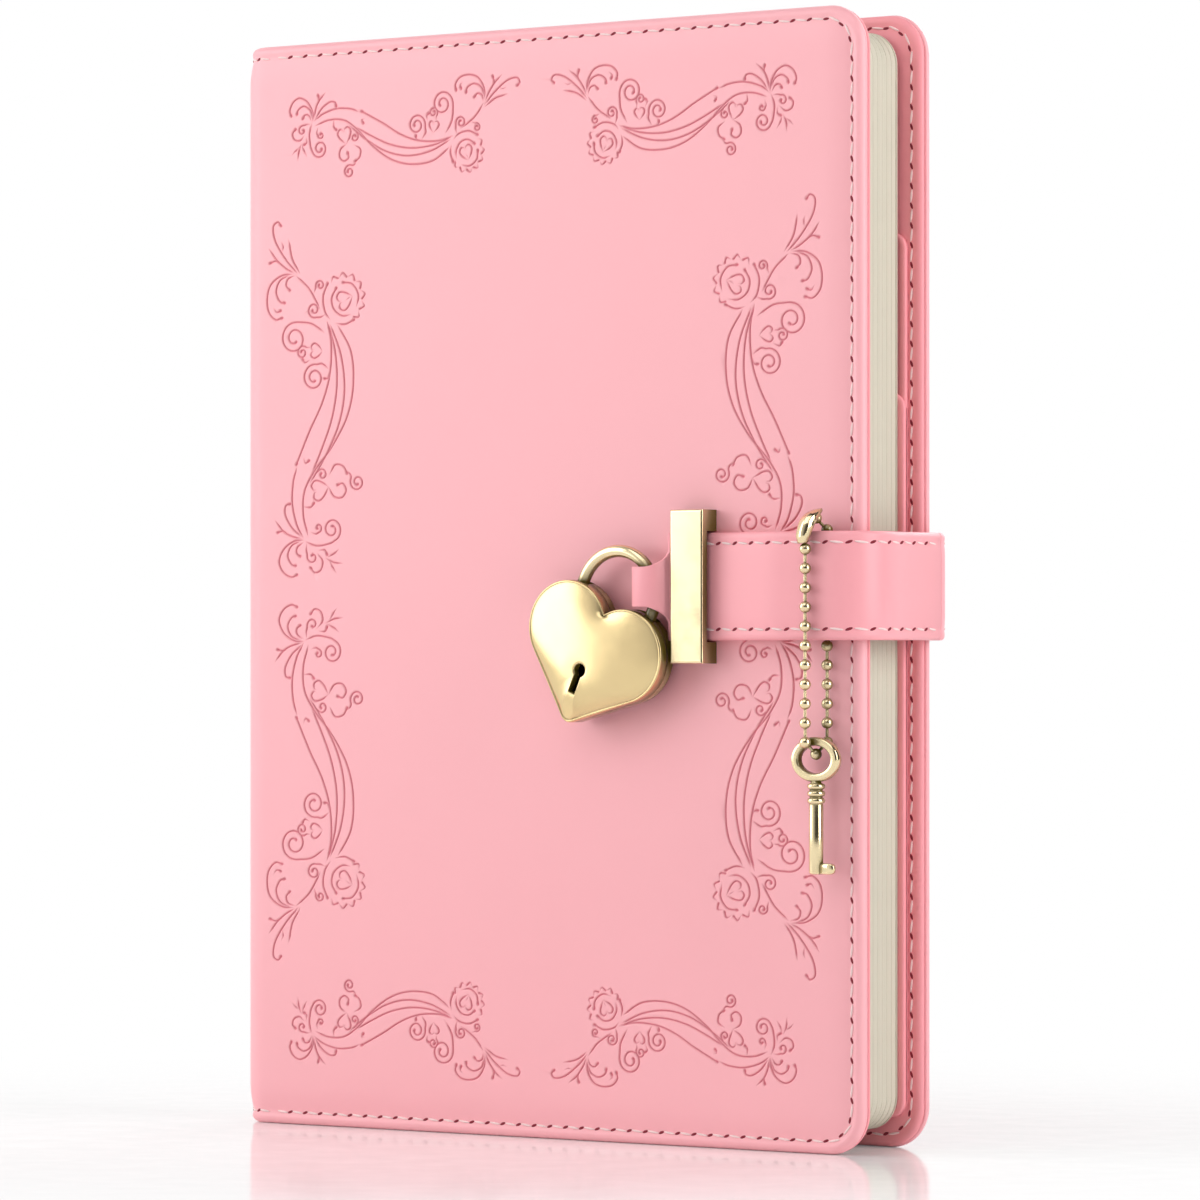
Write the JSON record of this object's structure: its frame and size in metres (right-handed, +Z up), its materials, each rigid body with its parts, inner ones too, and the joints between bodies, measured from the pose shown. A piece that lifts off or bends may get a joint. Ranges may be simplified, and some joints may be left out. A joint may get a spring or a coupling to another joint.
{
  "type": "diary with lock",
  "caption": "Padded leather diary with rounded corners, a wrap-over strap held by a metal keeper and a heart padlock, and a small key on a ball chain.",
  "frame": {"origin": "middle of the whole, strap and padlock included, at the foot of the covers", "axes": "+Z up the covers, +X from the spine to the fore edge, front cover facing -Y"},
  "size_m": [0.1512, 0.0354, 0.215],
  "materials": {
    "leather": "smooth satin",
    "lining": "smooth satin",
    "foam": "open foam",
    "board": "greyboard",
    "thread": "twisted thread",
    "cloth": "open weave",
    "paper": "cut edges, cream",
    "gold": "polished pale gold plate",
    "steel": "plain"
  },
  "bodies": {
    "back_cover": {"back_leather": "leather", "back_foam": "foam", "back_board": "board", "back_lining": "lining", "back_thread": "thread", "upper_pocket": "lining", "lower_pocket": "lining", "strap_tail_face": "leather", "strap_tail_backing": "leather"},
    "book_block": {"spine_leather": "leather", "spine_board": "board", "spine_cloth": "cloth", "page_section_1": "paper", "page_section_2": "paper", "page_section_3": "paper", "page_section_4": "paper", "page_section_5": "paper", "page_section_6": "paper", "page_section_7": "paper", "page_section_8": "paper", "page_section_9": "paper", "rear_endpaper": "paper"},
    "flyleaf": {"front_flyleaf": "paper"},
    "front_cover": {"front_leather": "leather", "front_foam": "foam", "front_board": "board", "front_lining": "lining", "front_thread": "thread", "strap_keeper": "gold", "keeper_screws": "steel", "strap_face": "leather", "strap_backing": "leather", "strap_loop": "leather"},
    "shackle": {"shackle": "gold"},
    "padlock": {"padlock_front": "gold", "padlock_back": "gold", "padlock_rivets": "steel", "shackle_pivot_pin": "steel", "bolt_spring": "steel"},
    "lock_barrel": {"lock_barrel": "steel"},
    "lock_bolt": {"lock_bolt": "steel"},
    "chain": {"chain_beads": "gold", "chain_rods": "gold", "chain_connector": "gold"},
    "key": {"key": "gold"}
  },
  "joints": [
    {"name": "back_cover_hinge", "type": "hinge", "parent": "back_cover", "child": "book_block", "pos_m": [-0.06965, 0.016, 0], "axis": [0, 0, -1], "range_deg": [0, 100]},
    {"name": "front_cover_hinge", "type": "hinge", "parent": "book_block", "child": "front_cover", "pos_m": [-0.06965, -0.0095, 0], "axis": [0, 0, -1], "range_deg": [0, 170]},
    {"name": "flyleaf_turn", "type": "hinge", "parent": "book_block", "child": "flyleaf", "pos_m": [-0.06665, -0.005, 0], "axis": [0, 0, -1], "range_deg": [0, 105]},
    {"name": "padlock_swing", "type": "hinge", "parent": "front_cover", "child": "shackle", "pos_m": [0.02745, -0.0137, 0.1064], "axis": [0, 0, 1], "range_deg": [0, 15]},
    {"name": "shackle_open", "type": "hinge", "parent": "shackle", "child": "padlock", "pos_m": [0.00909, -0.0137, 0.10086], "axis": [0, 1, 0], "range_deg": [0, 40]},
    {"name": "key_turn", "type": "hinge", "parent": "padlock", "child": "lock_barrel", "pos_m": [0.0138, -0.0137, 0.09055], "axis": [0, 1, 0], "range_deg": [0, 90]},
    {"name": "bolt_slide", "type": "slide", "parent": "padlock", "child": "lock_bolt", "axis": [0.9135, 0, -0.4067], "range_m": [0, 0.00354]},
    {"name": "chain_swing", "type": "hinge", "parent": "front_cover", "child": "chain", "pos_m": [0.06475, -0.01325, 0.1165], "axis": [0, 1, 0], "range_deg": [-4, 18]},
    {"name": "key_swing", "type": "hinge", "parent": "chain", "child": "key", "pos_m": [0.06475, -0.01325, 0.074], "axis": [0, 1, 0], "range_deg": [-25, 25]}
  ],
  "couplings": [
    {"joint": "flyleaf_turn", "follows": "front_cover_hinge", "ratio": 0.6},
    {"joint": "key_turn", "follows": "bolt_slide", "rad_per_m": 444.29}
  ]
}
